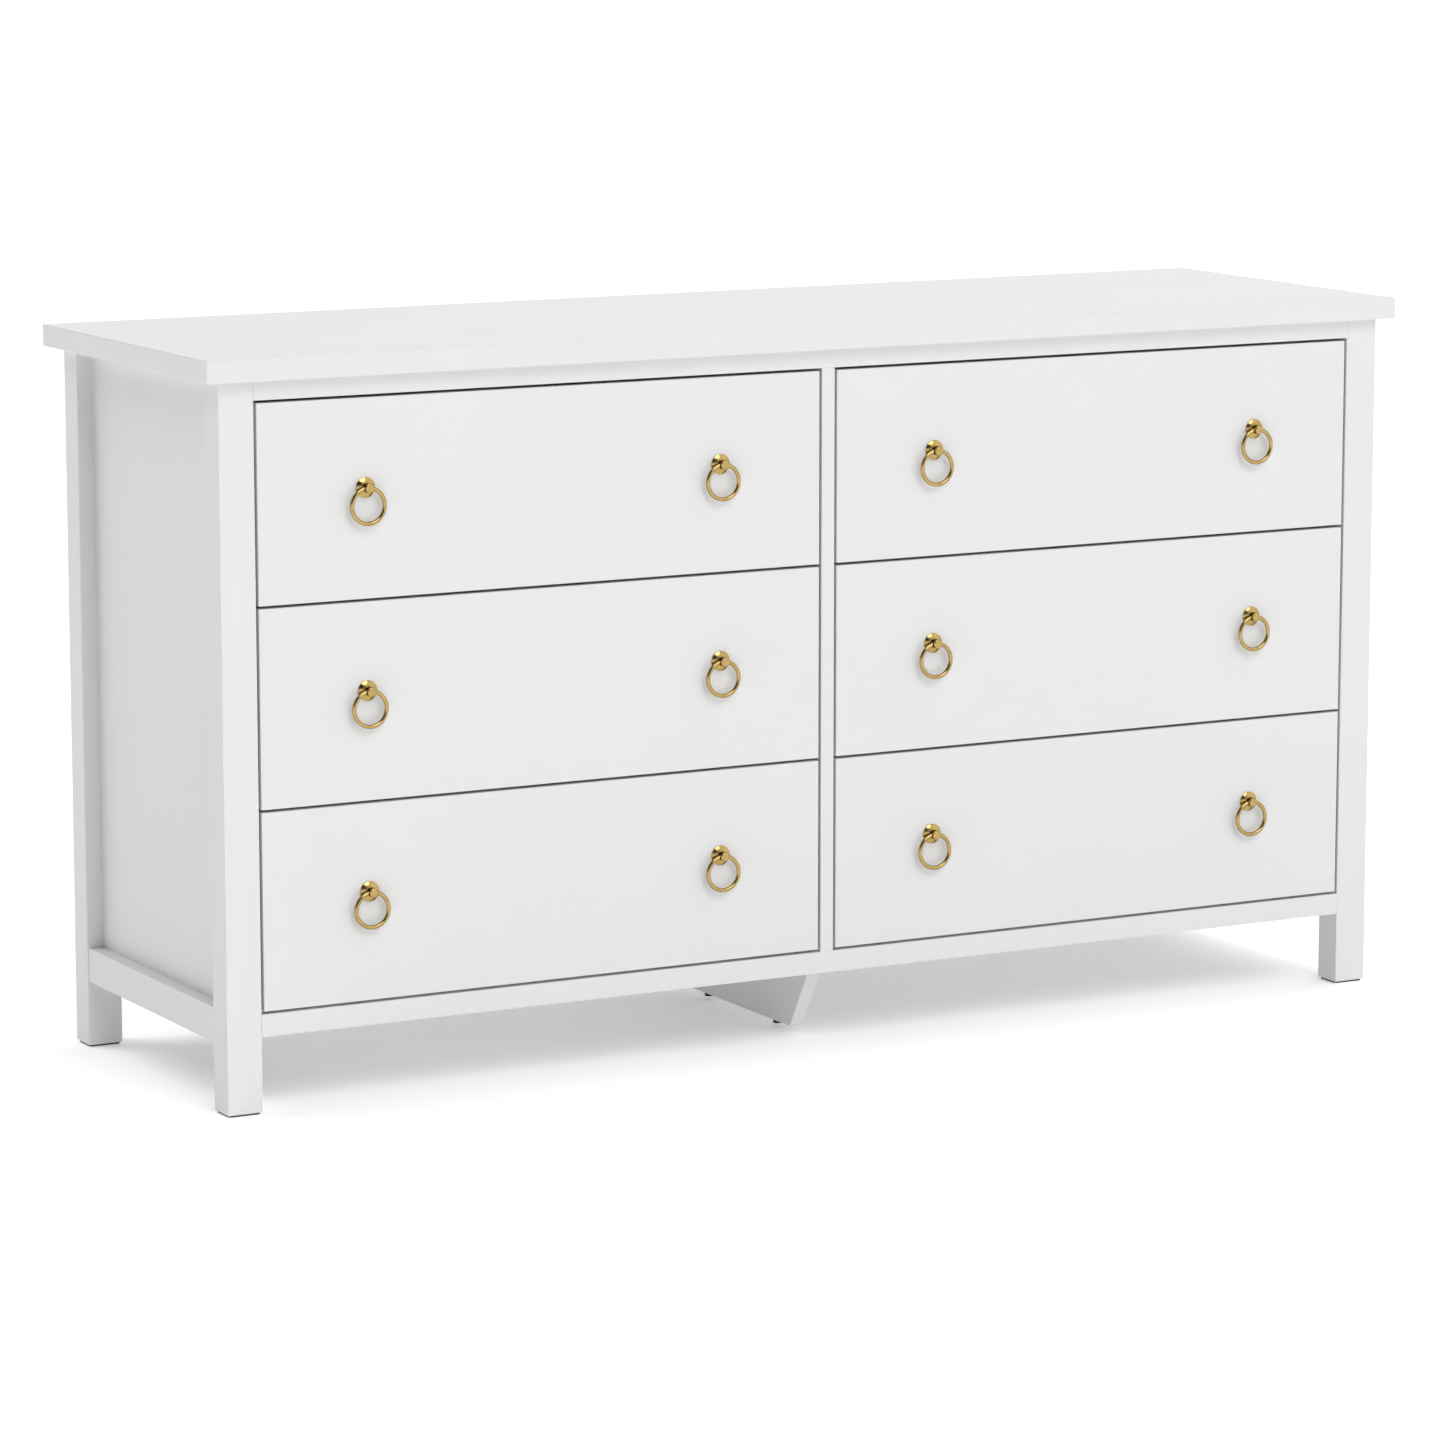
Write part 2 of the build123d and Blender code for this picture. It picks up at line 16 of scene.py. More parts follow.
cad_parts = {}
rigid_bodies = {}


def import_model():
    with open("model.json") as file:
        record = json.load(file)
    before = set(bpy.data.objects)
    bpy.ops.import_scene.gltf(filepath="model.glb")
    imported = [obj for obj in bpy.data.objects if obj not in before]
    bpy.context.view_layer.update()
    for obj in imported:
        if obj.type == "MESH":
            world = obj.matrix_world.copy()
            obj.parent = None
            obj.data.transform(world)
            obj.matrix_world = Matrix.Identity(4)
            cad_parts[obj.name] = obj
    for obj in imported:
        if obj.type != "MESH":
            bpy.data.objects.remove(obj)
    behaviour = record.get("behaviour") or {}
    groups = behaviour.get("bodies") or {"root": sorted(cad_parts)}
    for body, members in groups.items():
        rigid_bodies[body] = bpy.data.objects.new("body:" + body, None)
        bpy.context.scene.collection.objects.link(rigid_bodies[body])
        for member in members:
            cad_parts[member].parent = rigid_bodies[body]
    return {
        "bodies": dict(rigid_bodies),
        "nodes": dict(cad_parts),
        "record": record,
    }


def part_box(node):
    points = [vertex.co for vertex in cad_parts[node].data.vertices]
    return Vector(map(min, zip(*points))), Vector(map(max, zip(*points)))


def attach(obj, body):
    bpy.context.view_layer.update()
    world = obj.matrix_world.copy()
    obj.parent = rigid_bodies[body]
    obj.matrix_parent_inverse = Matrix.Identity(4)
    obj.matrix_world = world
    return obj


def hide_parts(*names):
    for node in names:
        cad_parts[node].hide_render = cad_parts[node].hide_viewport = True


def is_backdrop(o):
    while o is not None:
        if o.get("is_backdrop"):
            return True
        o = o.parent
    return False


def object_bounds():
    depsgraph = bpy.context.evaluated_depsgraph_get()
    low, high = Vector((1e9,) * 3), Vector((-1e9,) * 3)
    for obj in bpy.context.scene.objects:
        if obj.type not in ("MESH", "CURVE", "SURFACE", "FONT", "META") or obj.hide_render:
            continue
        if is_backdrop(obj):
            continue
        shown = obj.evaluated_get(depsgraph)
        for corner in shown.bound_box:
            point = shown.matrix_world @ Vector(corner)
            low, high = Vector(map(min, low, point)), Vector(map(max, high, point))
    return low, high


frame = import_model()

scene = bpy.context.scene
nodes = frame["nodes"]
cad_low, cad_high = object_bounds()
dresser_size = Vector(cad_high) - Vector(cad_low)
print("The dresser measures", [round(side, 3) for side in dresser_size], "metres")

# %% [markdown]
# ## Camera
# Catalogue pictures of furniture are taken from a long way off with a long lens, because a near
# camera makes the nearest corner bulge. Ours stands more than six metres away, to the left of
# the drawers and above the top, and looks down a little. A camera can also stand level and use
# lens shift, which keeps the posts exactly upright, but a shifted lens would push the dresser
# out of the picture as soon as the camera moves to another side.

# %% Camera
CAMERA_TARGET = Vector((-0.034, -0.032, 0.340))
CAMERA_TURN = math.radians(28.52)
CAMERA_TILT = math.radians(9.56)
CAMERA_DISTANCE = 6.40
LENS_MM = 141.8
FAR_CLIP = 200.0

look = Vector((math.sin(CAMERA_TURN) * math.cos(CAMERA_TILT),
               math.cos(CAMERA_TURN) * math.cos(CAMERA_TILT),
               -math.sin(CAMERA_TILT)))
camera_data = bpy.data.cameras.new("product_camera")
camera_data.lens = LENS_MM
camera_data.clip_end = FAR_CLIP
camera = bpy.data.objects.new("product_camera", camera_data)
camera.location = CAMERA_TARGET - look * CAMERA_DISTANCE
camera.rotation_euler = look.to_track_quat("-Z", "Y").to_euler()
scene.collection.objects.link(camera)
scene.camera = camera
print("The camera stands at", [round(v, 2) for v in camera.location])

# %% [markdown]
# ## Helpers for materials
# A paint chart gives colours as sRGB hex values, but light adds up in linear values, so one
# function turns the first into the second. Another adds one shader node with its settings and
# links, and gives back the socket that comes out of it. With these, each material below reads as
# a short list of what the surface is made of.

# %% Colour, size and node helpers
def linear(hex_colour):
    """An sRGB colour such as "#E8E8E8" as linear red, green, blue and alpha."""
    channels = [int(hex_colour[i:i + 2], 16) / 255 for i in (1, 3, 5)]
    return [c / 12.92 if c <= 0.04045 else ((c + 0.055) / 1.055) ** 2.4 for c in channels] + [1.0]


def cells(size_mm):
    """The texture scale that makes one cell of a pattern about this many millimetres wide."""
    return 1000.0 / size_mm


def input_of(node, key):
    """An input by its place or name. Unused inputs of the same name are switched off."""
    if isinstance(key, int):
        return node.inputs[key]
    return next(s for s in node.inputs if s.enabled and s.name == key)


def add_node(tree, kind, settings=None, links=None, output=None):
    """Adds a node and returns an output: the named one, or the first that is switched on."""
    node = tree.nodes.new(kind)
    for key, value in (settings or {}).items():
        if isinstance(key, str) and key in node.bl_rna.properties:
            setattr(node, key, value)
        else:
            input_of(node, key).default_value = value
    for key, source in (links or {}).items():
        tree.links.new(source, input_of(node, key))
    return node.outputs[output] if output else next(s for s in node.outputs if s.enabled)


def start_material(name, **uniform):
    """A material with one Principled shader. Values that are the same all over are set here."""
    material = bpy.data.materials.new(name)
    material.use_nodes = True
    tree = material.node_tree
    tree.nodes.clear()
    shader = tree.nodes.new("ShaderNodeBsdfPrincipled")
    for key, value in uniform.items():
        shader.inputs[key.replace("_", " ")].default_value = value
    output = tree.nodes.new("ShaderNodeOutputMaterial")
    tree.links.new(shader.outputs[0], output.inputs["Surface"])
    places = add_node(tree, "ShaderNodeTexCoord", output="Object")
    return material, tree, shader, places


def feed(tree, shader, **links):
    """Links colour, roughness and bump to the shader."""
    for key, source in links.items():
        tree.links.new(source, shader.inputs[key.replace("_", " ")])


print("A middle grey of #808080 is", round(linear("#808080")[0], 3), "in linear light")

# %% [markdown]
# ## Edge mask
# Handled edges are the first thing to change on any furniture, so several materials need to know
# where the edges are. The Bevel node gives the direction that a surface would face if its edges
# were rounded. Where that differs from the way it really faces, we are at an edge.

# %% Edge mask
EDGE_SAMPLES = 4
EDGE_LIMIT = 0.75  # how alike the two directions still are where the mask reaches 1


def edge_mask(tree, width_mm):
    """1 along edges, falling to 0 within the given width."""
    rounded = add_node(tree, "ShaderNodeBevel",
                       {"samples": EDGE_SAMPLES, "Radius": width_mm / 1000})
    facing = add_node(tree, "ShaderNodeNewGeometry", output="Normal")
    likeness = add_node(tree, "ShaderNodeVectorMath", {"operation": "DOT_PRODUCT"},
                        {0: rounded, 1: facing})
    return add_node(tree, "ShaderNodeMapRange",
                    {"From Min": 1.0, "From Max": EDGE_LIMIT, "To Min": 0.0, "To Max": 1.0},
                    {"Value": likeness})


print("The mask is full where the rounded edge leans by",
      round(math.degrees(math.acos(EDGE_LIMIT))), "degrees")

# %% [markdown]
# ## Painted fibreboard
# The top, posts, rails, panels and drawer fronts are medium-density fibreboard, sprayed with
# satin white paint. Spray dries with an orange-peel ripple, about two millimetres from crest to
# crest and a few hundredths high, which breaks up reflections without showing as a pattern. The
# sheen drifts a little over a board's length, and hands polish the edges, which makes them
# smoother. The colour is a touch lighter along the edges, which is a painted highlight. Paint has
# an IOR near 1.5. A flat white would look like plastic.

# %% Painted fibreboard
PEEL_MM = 2.2
PEEL_HEIGHT = 0.00003
SHEEN_DRIFT_MM = 160.0
PAINT_EDGE_MM = 1.2
PAINT_FILM = ("#D8D8D8", "#DBDBDB")
# A painted highlight: the paint's colour along every edge, a touch lighter.
PAINT_EDGE_HIGHLIGHT = "#E0E0E0"
DRIFT_RANGE = (0.3, 0.7)
PAINT_ROUGHNESS = (0.42, 0.50)
EDGE_POLISH = 0.08


def painted_fibreboard():
    material, tree, shader, places = start_material("painted_fibreboard", IOR=1.5)
    peel = add_node(tree, "ShaderNodeTexNoise", {"Scale": cells(PEEL_MM), "Detail": 1.0},
                    {"Vector": places})
    ripple = add_node(tree, "ShaderNodeBump", {"Distance": PEEL_HEIGHT}, {"Height": peel})
    drift = add_node(tree, "ShaderNodeTexNoise", {"Scale": cells(SHEEN_DRIFT_MM), "Detail": 4.0},
                     {"Vector": places})
    edge = edge_mask(tree, PAINT_EDGE_MM)
    film = add_node(tree, "ShaderNodeMix",
                    {"data_type": "RGBA", "A": linear(PAINT_FILM[0]), "B": linear(PAINT_FILM[1])},
                    {"Factor": drift})
    # Painted highlight: the edge mask lightens the paint's colour along every edge.
    colour = add_node(tree, "ShaderNodeMix", {"data_type": "RGBA", "B": linear(PAINT_EDGE_HIGHLIGHT)},
                      {"Factor": edge, "A": film})
    sheen = add_node(tree, "ShaderNodeMapRange",
                     {"From Min": DRIFT_RANGE[0], "From Max": DRIFT_RANGE[1],
                      "To Min": PAINT_ROUGHNESS[0], "To Max": PAINT_ROUGHNESS[1]},
                     {"Value": drift})
    polish = add_node(tree, "ShaderNodeMath", {"operation": "MULTIPLY_ADD", 1: -EDGE_POLISH},
                      {0: edge, 2: sheen})
    feed(tree, shader, Base_Color=colour, Roughness=polish, Normal=ripple)
    return material


fibreboard = painted_fibreboard()
print("Made", fibreboard.name, "from", len(fibreboard.node_tree.nodes), "shader nodes")

# %% [markdown]
# ## Foil on particle board
# The drawer boxes are particle board wrapped in a white melamine foil. The foil is pressed
# between textured plates, which leaves very fine pores that run along the board. The real pores
# are a third of a millimetre wide and would vanish at any distance, so they are drawn a little
# coarser here. The cut edges are taped, and the tape's glue line shows slightly greyer.

# %% Foil on particle board
PORE_MM = 0.9
PORE_STRETCH = 0.035
PORE_HEIGHT = 0.00004
TAPE_MM = 0.9
FOIL_GREYS = ("#D6D6D4", "#DEDEDC")
TAPE_GREY = "#CACAC7"
FOIL_ROUGHNESS = (0.38, 0.50)


def foil_board():
    material, tree, shader, places = start_material("melamine_foil_board", IOR=1.5)
    stretched = add_node(tree, "ShaderNodeMapping", {"Scale": (1.0, PORE_STRETCH, 1.0)},
                         {"Vector": places})
    pores = add_node(tree, "ShaderNodeTexNoise", {"Scale": cells(PORE_MM), "Detail": 2.0},
                     {"Vector": stretched})
    emboss = add_node(tree, "ShaderNodeBump", {"Distance": PORE_HEIGHT}, {"Height": pores})
    grey = add_node(tree, "ShaderNodeMix",
                    {"data_type": "RGBA", "A": linear(FOIL_GREYS[0]), "B": linear(FOIL_GREYS[1])},
                    {"Factor": pores})
    tape = edge_mask(tree, TAPE_MM)
    colour = add_node(tree, "ShaderNodeMix", {"data_type": "RGBA", "B": linear(TAPE_GREY)},
                      {"Factor": tape, "A": grey})
    gloss = add_node(tree, "ShaderNodeMapRange",
                     {"To Min": FOIL_ROUGHNESS[0], "To Max": FOIL_ROUGHNESS[1]}, {"Value": pores})
    feed(tree, shader, Base_Color=colour, Roughness=gloss, Normal=emboss)
    return material


foil = foil_board()
print("Made", foil.name, "from", len(foil.node_tree.nodes), "shader nodes")

# %% [markdown]
# ## White-faced hardboard
# The back and the drawer bottoms are hardboard: wood fibre pressed to three or four millimetres,
# with a white coating. One face is smooth. The other lay on a wire screen in the press and keeps
# its print, so it goes where nobody looks: behind the back and under the drawers. A real screen
# has about one wire per millimetre, and this one is drawn three times as coarse so that it can be
# seen. The coating is thin, and the darker fibres show faintly through it.

# %% White-faced hardboard
SCREEN_MM = 3.0
SCREEN_HEIGHT = 0.00025
WAVE_PERIOD = math.pi / 10  # metres from crest to crest in a wave texture whose scale is 1
WIRE_WANDER = 0.6
FIBRE_MM = 5.0
ROUGH_SIDE = 0.5
COAT_WHITES = ("#CFCECB", "#DDDCDA")
WIRE_GREY = "#C7C6C2"
COAT_ROUGHNESS = (0.52, 0.68)


def screen_print(tree, places):
    """The print of crossed wires, as high as 1, on faces that look back or down."""
    waves = [add_node(tree, "ShaderNodeTexWave",
                      {"bands_direction": axis, "Scale": cells(SCREEN_MM) * WAVE_PERIOD,
                       "Distortion": WIRE_WANDER, "Detail": 1.0}, {"Vector": places}, output="Fac")
             for axis in "XYZ"]
    facing = add_node(tree, "ShaderNodeTexCoord", output="Normal")
    parts = tree.nodes.new("ShaderNodeSeparateXYZ")
    tree.links.new(facing, parts.inputs[0])
    looks_back = add_node(tree, "ShaderNodeMath", {"operation": "GREATER_THAN", 1: ROUGH_SIDE},
                          {0: parts.outputs["Y"]})
    looks_down = add_node(tree, "ShaderNodeMath", {"operation": "LESS_THAN", 1: -ROUGH_SIDE},
                          {0: parts.outputs["Z"]})
    upright = add_node(tree, "ShaderNodeMath", {"operation": "MULTIPLY"},
                       {0: waves[2], 1: looks_back})
    level = add_node(tree, "ShaderNodeMath", {"operation": "MULTIPLY_ADD"},
                     {0: waves[1], 1: looks_down, 2: upright})
    rough = add_node(tree, "ShaderNodeMath", {"operation": "MAXIMUM"},
                     {0: looks_back, 1: looks_down})
    across = add_node(tree, "ShaderNodeMath", {"operation": "MULTIPLY"}, {0: waves[0], 1: rough})
    return add_node(tree, "ShaderNodeMath", {"operation": "MULTIPLY"}, {0: across, 1: level})


def faced_hardboard():
    material, tree, shader, places = start_material("white_faced_hardboard", IOR=1.5)
    fibres = add_node(tree, "ShaderNodeTexNoise", {"Scale": cells(FIBRE_MM), "Detail": 6.0,
                                                   "Distortion": 0.8}, {"Vector": places})
    wires = screen_print(tree, places)
    relief = add_node(tree, "ShaderNodeBump", {"Distance": SCREEN_HEIGHT}, {"Height": wires})
    coat = add_node(tree, "ShaderNodeMix",
                    {"data_type": "RGBA", "A": linear(COAT_WHITES[0]), "B": linear(COAT_WHITES[1])},
                    {"Factor": fibres})
    colour = add_node(tree, "ShaderNodeMix", {"data_type": "RGBA", "B": linear(WIRE_GREY)},
                      {"Factor": wires, "A": coat})
    dull = add_node(tree, "ShaderNodeMapRange",
                    {"To Min": COAT_ROUGHNESS[0], "To Max": COAT_ROUGHNESS[1]}, {"Value": fibres})
    feed(tree, shader, Base_Color=colour, Roughness=dull, Normal=relief)
    return material


hardboard = faced_hardboard()
print("Made", hardboard.name, "from", len(hardboard.node_tree.nodes), "shader nodes")

# %% [markdown]
# ## Lacquered brass
# The pulls are turned and bent from brass, brushed to a fine satin and then dipped in clear
# lacquer. Brass tints everything that it mirrors yellow. The brushing spreads each reflection,
# and the lacquer adds a faint colourless gloss on top, which pulls the highlights from gold
# towards cream. The specular tint, which on a metal is its colour at grazing angles, is a deep
# brown. This is painted shade that darkens the rims of the pulls where they are seen edge on. The
# satin is not even, and the colour drifts where dust and lacquer gather. Real brush marks are
# about a tenth of a millimetre wide, and are drawn coarser here so that they show. Metals keep
# the default IOR.

# %% Lacquered brass
BRUSH_MM = 0.6
BRUSH_HEIGHT = 0.00001
TARNISH_MM = 7.0
BRASS_SHADES = ("#9C8247", "#C5AA6C")
# Painted shade: the deep brown that darkens the pulls' rims where they are seen edge on.
BRASS_RIM_SHADE = "#4A3814"
BRUSH_RANGE = (0.25, 0.75)
BRASS_ROUGHNESS = (0.12, 0.22)


def lacquered_brass():
    # The specular tint is painted shade on the grazing rims.
    material, tree, shader, places = start_material(
        "lacquered_brass", Metallic=1.0, Specular_Tint=linear(BRASS_RIM_SHADE),
        Coat_Weight=0.25, Coat_Roughness=0.10, Coat_IOR=1.5)
    strokes = add_node(tree, "ShaderNodeTexNoise", {"Scale": cells(BRUSH_MM), "Detail": 3.0,
                                                    "Roughness": 0.7}, {"Vector": places})
    satin = add_node(tree, "ShaderNodeBump", {"Distance": BRUSH_HEIGHT}, {"Height": strokes})
    patches = add_node(tree, "ShaderNodeTexNoise", {"Scale": cells(TARNISH_MM), "Detail": 3.0},
                       {"Vector": places})
    colour = add_node(tree, "ShaderNodeMix",
                      {"data_type": "RGBA", "A": linear(BRASS_SHADES[0]),
                       "B": linear(BRASS_SHADES[1])}, {"Factor": patches})
    spread = add_node(tree, "ShaderNodeMapRange",
                      {"From Min": BRUSH_RANGE[0], "From Max": BRUSH_RANGE[1],
                       "To Min": BRASS_ROUGHNESS[0], "To Max": BRASS_ROUGHNESS[1]},
                      {"Value": strokes})
    feed(tree, shader, Base_Color=colour, Roughness=spread, Normal=satin)
    return material


brass = lacquered_brass()
print("Made", brass.name, "from", len(brass.node_tree.nodes), "shader nodes")

# %% [markdown]
# ## Zinc-plated steel
# Runners, screws and cams are steel with a thin zinc plating, pale grey with a faint blue cast.
# Runners are folded from rolled strip, and the rolling leaves streaks along their length, so the
# pattern is stretched along the drawer's travel. Real streaks are a few tenths of a millimetre
# wide, and are drawn coarser here so that they show. The plating dulls in soft patches.

# %% Zinc-plated steel
ROLL_MM = 1.4
ROLL_STRETCH = 0.03
ROLL_HEIGHT = 0.00001
BLOOM_MM = 14.0
ZINC_GREYS = ("#AEB2B5", "#C9CCCE")
BLOOM_RANGE = (0.3, 0.7)
ZINC_ROUGHNESS = (0.30, 0.46)


def zinc_plated_steel():
    material, tree, shader, places = start_material("zinc_plated_steel", Metallic=1.0)
    stretched = add_node(tree, "ShaderNodeMapping", {"Scale": (1.0, ROLL_STRETCH, 1.0)},
                         {"Vector": places})
    streaks = add_node(tree, "ShaderNodeTexNoise", {"Scale": cells(ROLL_MM), "Detail": 2.0},
                       {"Vector": stretched})
    bloom = add_node(tree, "ShaderNodeTexNoise", {"Scale": cells(BLOOM_MM), "Detail": 4.0},
                     {"Vector": places})
    rolled = add_node(tree, "ShaderNodeBump", {"Distance": ROLL_HEIGHT}, {"Height": streaks})
    colour = add_node(tree, "ShaderNodeMix",
                      {"data_type": "RGBA", "A": linear(ZINC_GREYS[0]), "B": linear(ZINC_GREYS[1])},
                      {"Factor": streaks})
    dull = add_node(tree, "ShaderNodeMapRange",
                    {"From Min": BLOOM_RANGE[0], "From Max": BLOOM_RANGE[1],
                     "To Min": ZINC_ROUGHNESS[0], "To Max": ZINC_ROUGHNESS[1]},
                    {"Value": bloom})
    feed(tree, shader, Base_Color=colour, Roughness=dull, Normal=rolled)
    return material


zinc = zinc_plated_steel()
print("Made", zinc.name, "from", len(zinc.node_tree.nodes), "shader nodes")

# %% [markdown]
# ## Moulded polythene
# The glides are polythene, moulded in dark grey. Polythene is soft and waxy, with an IOR near
# 1.5 and a dull surface. The mould is spark-eroded, which gives it a fine even grain. The real
# grain is about a third of a millimetre, and is drawn twice as coarse so that it shows. Floors
# scuff the glides a little lighter.

# %% Moulded polythene
GRAIN_MM = 0.7
GRAIN_HEIGHT = 0.00004
SCUFF_MM = 4.0
GLIDE_GREYS = ("#1B1B1C", "#343435")
WAX_ROUGHNESS = (0.50, 0.70)


def moulded_polythene():
    material, tree, shader, places = start_material("moulded_polythene", IOR=1.51)
    grain = add_node(tree, "ShaderNodeTexNoise", {"Scale": cells(GRAIN_MM), "Detail": 1.0},
                     {"Vector": places})
    relief = add_node(tree, "ShaderNodeBump", {"Distance": GRAIN_HEIGHT}, {"Height": grain})
    scuffs = add_node(tree, "ShaderNodeTexNoise", {"Scale": cells(SCUFF_MM), "Detail": 5.0},
                      {"Vector": places})
    colour = add_node(tree, "ShaderNodeMix",
                      {"data_type": "RGBA", "A": linear(GLIDE_GREYS[0]),
                       "B": linear(GLIDE_GREYS[1])}, {"Factor": scuffs})
    wax = add_node(tree, "ShaderNodeMapRange",
                   {"To Min": WAX_ROUGHNESS[0], "To Max": WAX_ROUGHNESS[1]}, {"Value": scuffs})
    feed(tree, shader, Base_Color=colour, Roughness=wax, Normal=relief)
    return material


polythene = moulded_polythene()
print("Made", polythene.name, "from", len(polythene.node_tree.nodes), "shader nodes")

# %% [markdown]
# ## Give each CAD node its finish
# The frame's record says which material slot every CAD node belongs to. We keep one dictionary
# from slot to finish, and give each node the finish of its slot. A finish changes only the
# surface, so the CAD shapes stay exactly as they are.

# %% Finishes by slot
finishes = {
    "painted_board": fibreboard,
    "box_board": foil,
    "bottom_board": hardboard,
    "back_board": hardboard,
    "brass": brass,
    "runner_steel": zinc,
    "zinc_steel": zinc,
    "glide_plastic": polythene,
}
for subpart in frame["record"]["subparts"]:
    mesh = nodes[subpart["node"]].data
    mesh.materials.clear()
    mesh.materials.append(finishes[subpart["material_slot"]])

# %% [markdown]
# ## Finding loose parts
# Some CAD nodes hold several separate solids, such as all the screws. Later steps need the place
# of each solid. An imported mesh has doubled points along its sharp edges, so we first weld them,
# and then walk from point to point until a whole solid has been collected.

# %% Separate solids of a node
WELD_DISTANCE = 1e-6


def welded(node_name):
    """A working copy of a node's mesh, with the doubled points of its sharp edges joined."""
    bm = bmesh.new()
    bm.from_mesh(nodes[node_name].data)
    bmesh.ops.remove_doubles(bm, verts=bm.verts, dist=WELD_DISTANCE)
    return bm


def solids_of(bm):
    """The separate solids in a mesh, each as a list of its points, in the mesh's own order."""
    waiting = set(bm.verts)
    solids = []
    for start in bm.verts:
        if start not in waiting:
            continue
        waiting.remove(start)
        found = [start]
        for vert in found:
            neighbours = {edge.other_vert(vert) for edge in vert.link_edges} & waiting
            waiting -= neighbours
            found.extend(neighbours)
        solids.append(found)
    return solids


def extent(solid, axis):
    """The lowest and highest value of a solid along one axis."""
    values = [vert.co[axis] for vert in solid]
    return min(values), max(values)


fixings = welded("fixings")
fixing_solids = solids_of(fixings)
print("Screws and pins in the CAD fixings:", len(fixing_solids))

# %% [markdown]
# ## Turned hardware
# Screws and cams are turned on a lathe and then stamped with a cross. We draw half of the
# outline, turn it round an axis, and push down the points that lie under the cross. That keeps
# one closed skin, which a plain disc with a cross laid on top would not be.

# %% A lathe, a cross and a screw
TURNS = 36
RECESS_RAMP = 0.0003
SHARP_ANGLE = math.radians(40)
DOME_STEPS = 12
DOME_DROP = 0.12
PAN_RIM = ((0.93, 0.78), (0.985, 0.5), (1.0, 0.2), (1.0, 0.0))  # shares of head radius and height
PAN_CROSS = (0.62, 0.17, 0.6)  # shares: arm and half width of the radius, depth of the height


def turned(bm, outline, place, sink):
    """Turns an outline of (radius, height), top first. sink says how far a top point goes down."""
    rows = []
    for radius, height in outline:
        row = []
        for step in range(TURNS if radius > 0 else 1):
            angle = 2 * math.pi * step / TURNS
            point = Vector((radius * math.cos(angle), radius * math.sin(angle), height))
            if height > 0:
                point.z -= sink(point.x, point.y)
            row.append(bm.verts.new(place @ point))
        rows.append(row)
    for upper, lower in zip(rows, rows[1:]):
        for i in range(TURNS):
            j = (i + 1) % TURNS
            if len(upper) == 1:
                bm.faces.new((upper[0], lower[i], lower[j]))
            elif len(lower) == 1:
                bm.faces.new((upper[i], lower[0], upper[j]))
            else:
                bm.faces.new((upper[i], lower[i], lower[j], upper[j]))


def cross(arm, half_width, depth):
    """The stamped cross: how far each top point goes down, with a short ramp at its sides."""
    def sink(x, y):
        along = max(abs(x), abs(y))
        across = min(abs(x), abs(y))
        inside = min((half_width - across) / RECESS_RAMP, (arm - along) / RECESS_RAMP)
        return depth * min(max(inside, 0.0), 1.0)
    return sink


def facing(place, direction):
    """Puts a piece at a place, with its top towards a direction."""
    turn = Vector(direction).to_track_quat("Z", "Y").to_matrix().to_4x4()
    return Matrix.Translation(place) @ turn


def smooth_piece(bm, name, body, slot):
    """Makes the finished piece: smooth, with its true edges kept sharp, riding on its body."""
    mesh = bpy.data.meshes.new(name)
    bm.to_mesh(mesh)
    bm.free()
    mesh.shade_smooth()
    mesh.set_sharp_from_angle(angle=SHARP_ANGLE)
    mesh.materials.append(finishes[slot])
    piece = bpy.data.objects.new(name, mesh)
    scene.collection.objects.link(piece)
    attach(piece, body)
    return piece


def pan_head_screw(bm, place, head_radius, head_height, shank_radius, length):
    """A pan-head screw: a low dome with a cross, and a plain shank that ends in a point."""
    outline = [(head_radius * share, head_height * (1 - DOME_DROP * share ** 2))
               for share in [step / DOME_STEPS for step in range(DOME_STEPS - 1)]]
    outline += [(head_radius * out, head_height * up) for out, up in PAN_RIM]
    outline += [(shank_radius, 0.0), (shank_radius, -length + 2 * shank_radius), (0.0, -length)]
    arm, half_width, depth = PAN_CROSS
    stamp = cross(head_radius * arm, head_radius * half_width, head_height * depth)
    turned(bm, outline, place, stamp)


print("A pan head is drawn with", DOME_STEPS - 1 + len(PAN_RIM), "rings of", TURNS, "points")

# %% [markdown]
# ## Back screws
# The back is held by pan-head screws. Their places and sizes are read from the CAD screws, and
# the new ones have a real head: domed, with a stamped cross. The pins that lock the joints lie
# hidden in the boards and share a CAD node with the screws, so they are copied as they are, and
# the two new pieces stand for that node together.

# %% Back screws and joint pins
BACK_SHANK_RADIUS = 0.0016

panel_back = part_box("back_panel")[1].y
back_screws = bmesh.new()
old_screws = []
for solid in fixing_solids:
    head_top = extent(solid, 1)[1]
    if head_top > panel_back:
        x_low, x_high = extent(solid, 0)
        z_low, z_high = extent(solid, 2)
        centre = ((x_low + x_high) / 2, panel_back, (z_low + z_high) / 2)
        head_radius = (x_high - x_low) / 2
        pan_head_screw(back_screws, facing(centre, (0, 1, 0)), head_radius, head_top - panel_back,
                       BACK_SHANK_RADIUS, panel_back - extent(solid, 1)[0])
        old_screws.append(solid)
print("Back screws:", len(old_screws))
bmesh.ops.delete(fixings, geom=[vert for solid in old_screws for vert in solid], context="VERTS")
joint_pins = smooth_piece(fixings, "joint_pins", "carcass", "zinc_steel")
screws = smooth_piece(back_screws, "back_panel_screws", "carcass", "zinc_steel")
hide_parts("fixings")
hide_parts("fixings")

# %% [markdown]
# ## Runner screws
# Each runner is a folded channel, screwed on through its web. The heads sit inside the hollow of
# the channel, where they clear the channel that slides past them. The channel's own points tell
# us where its web is: of the three places across it, the middle one is the web's inner face.

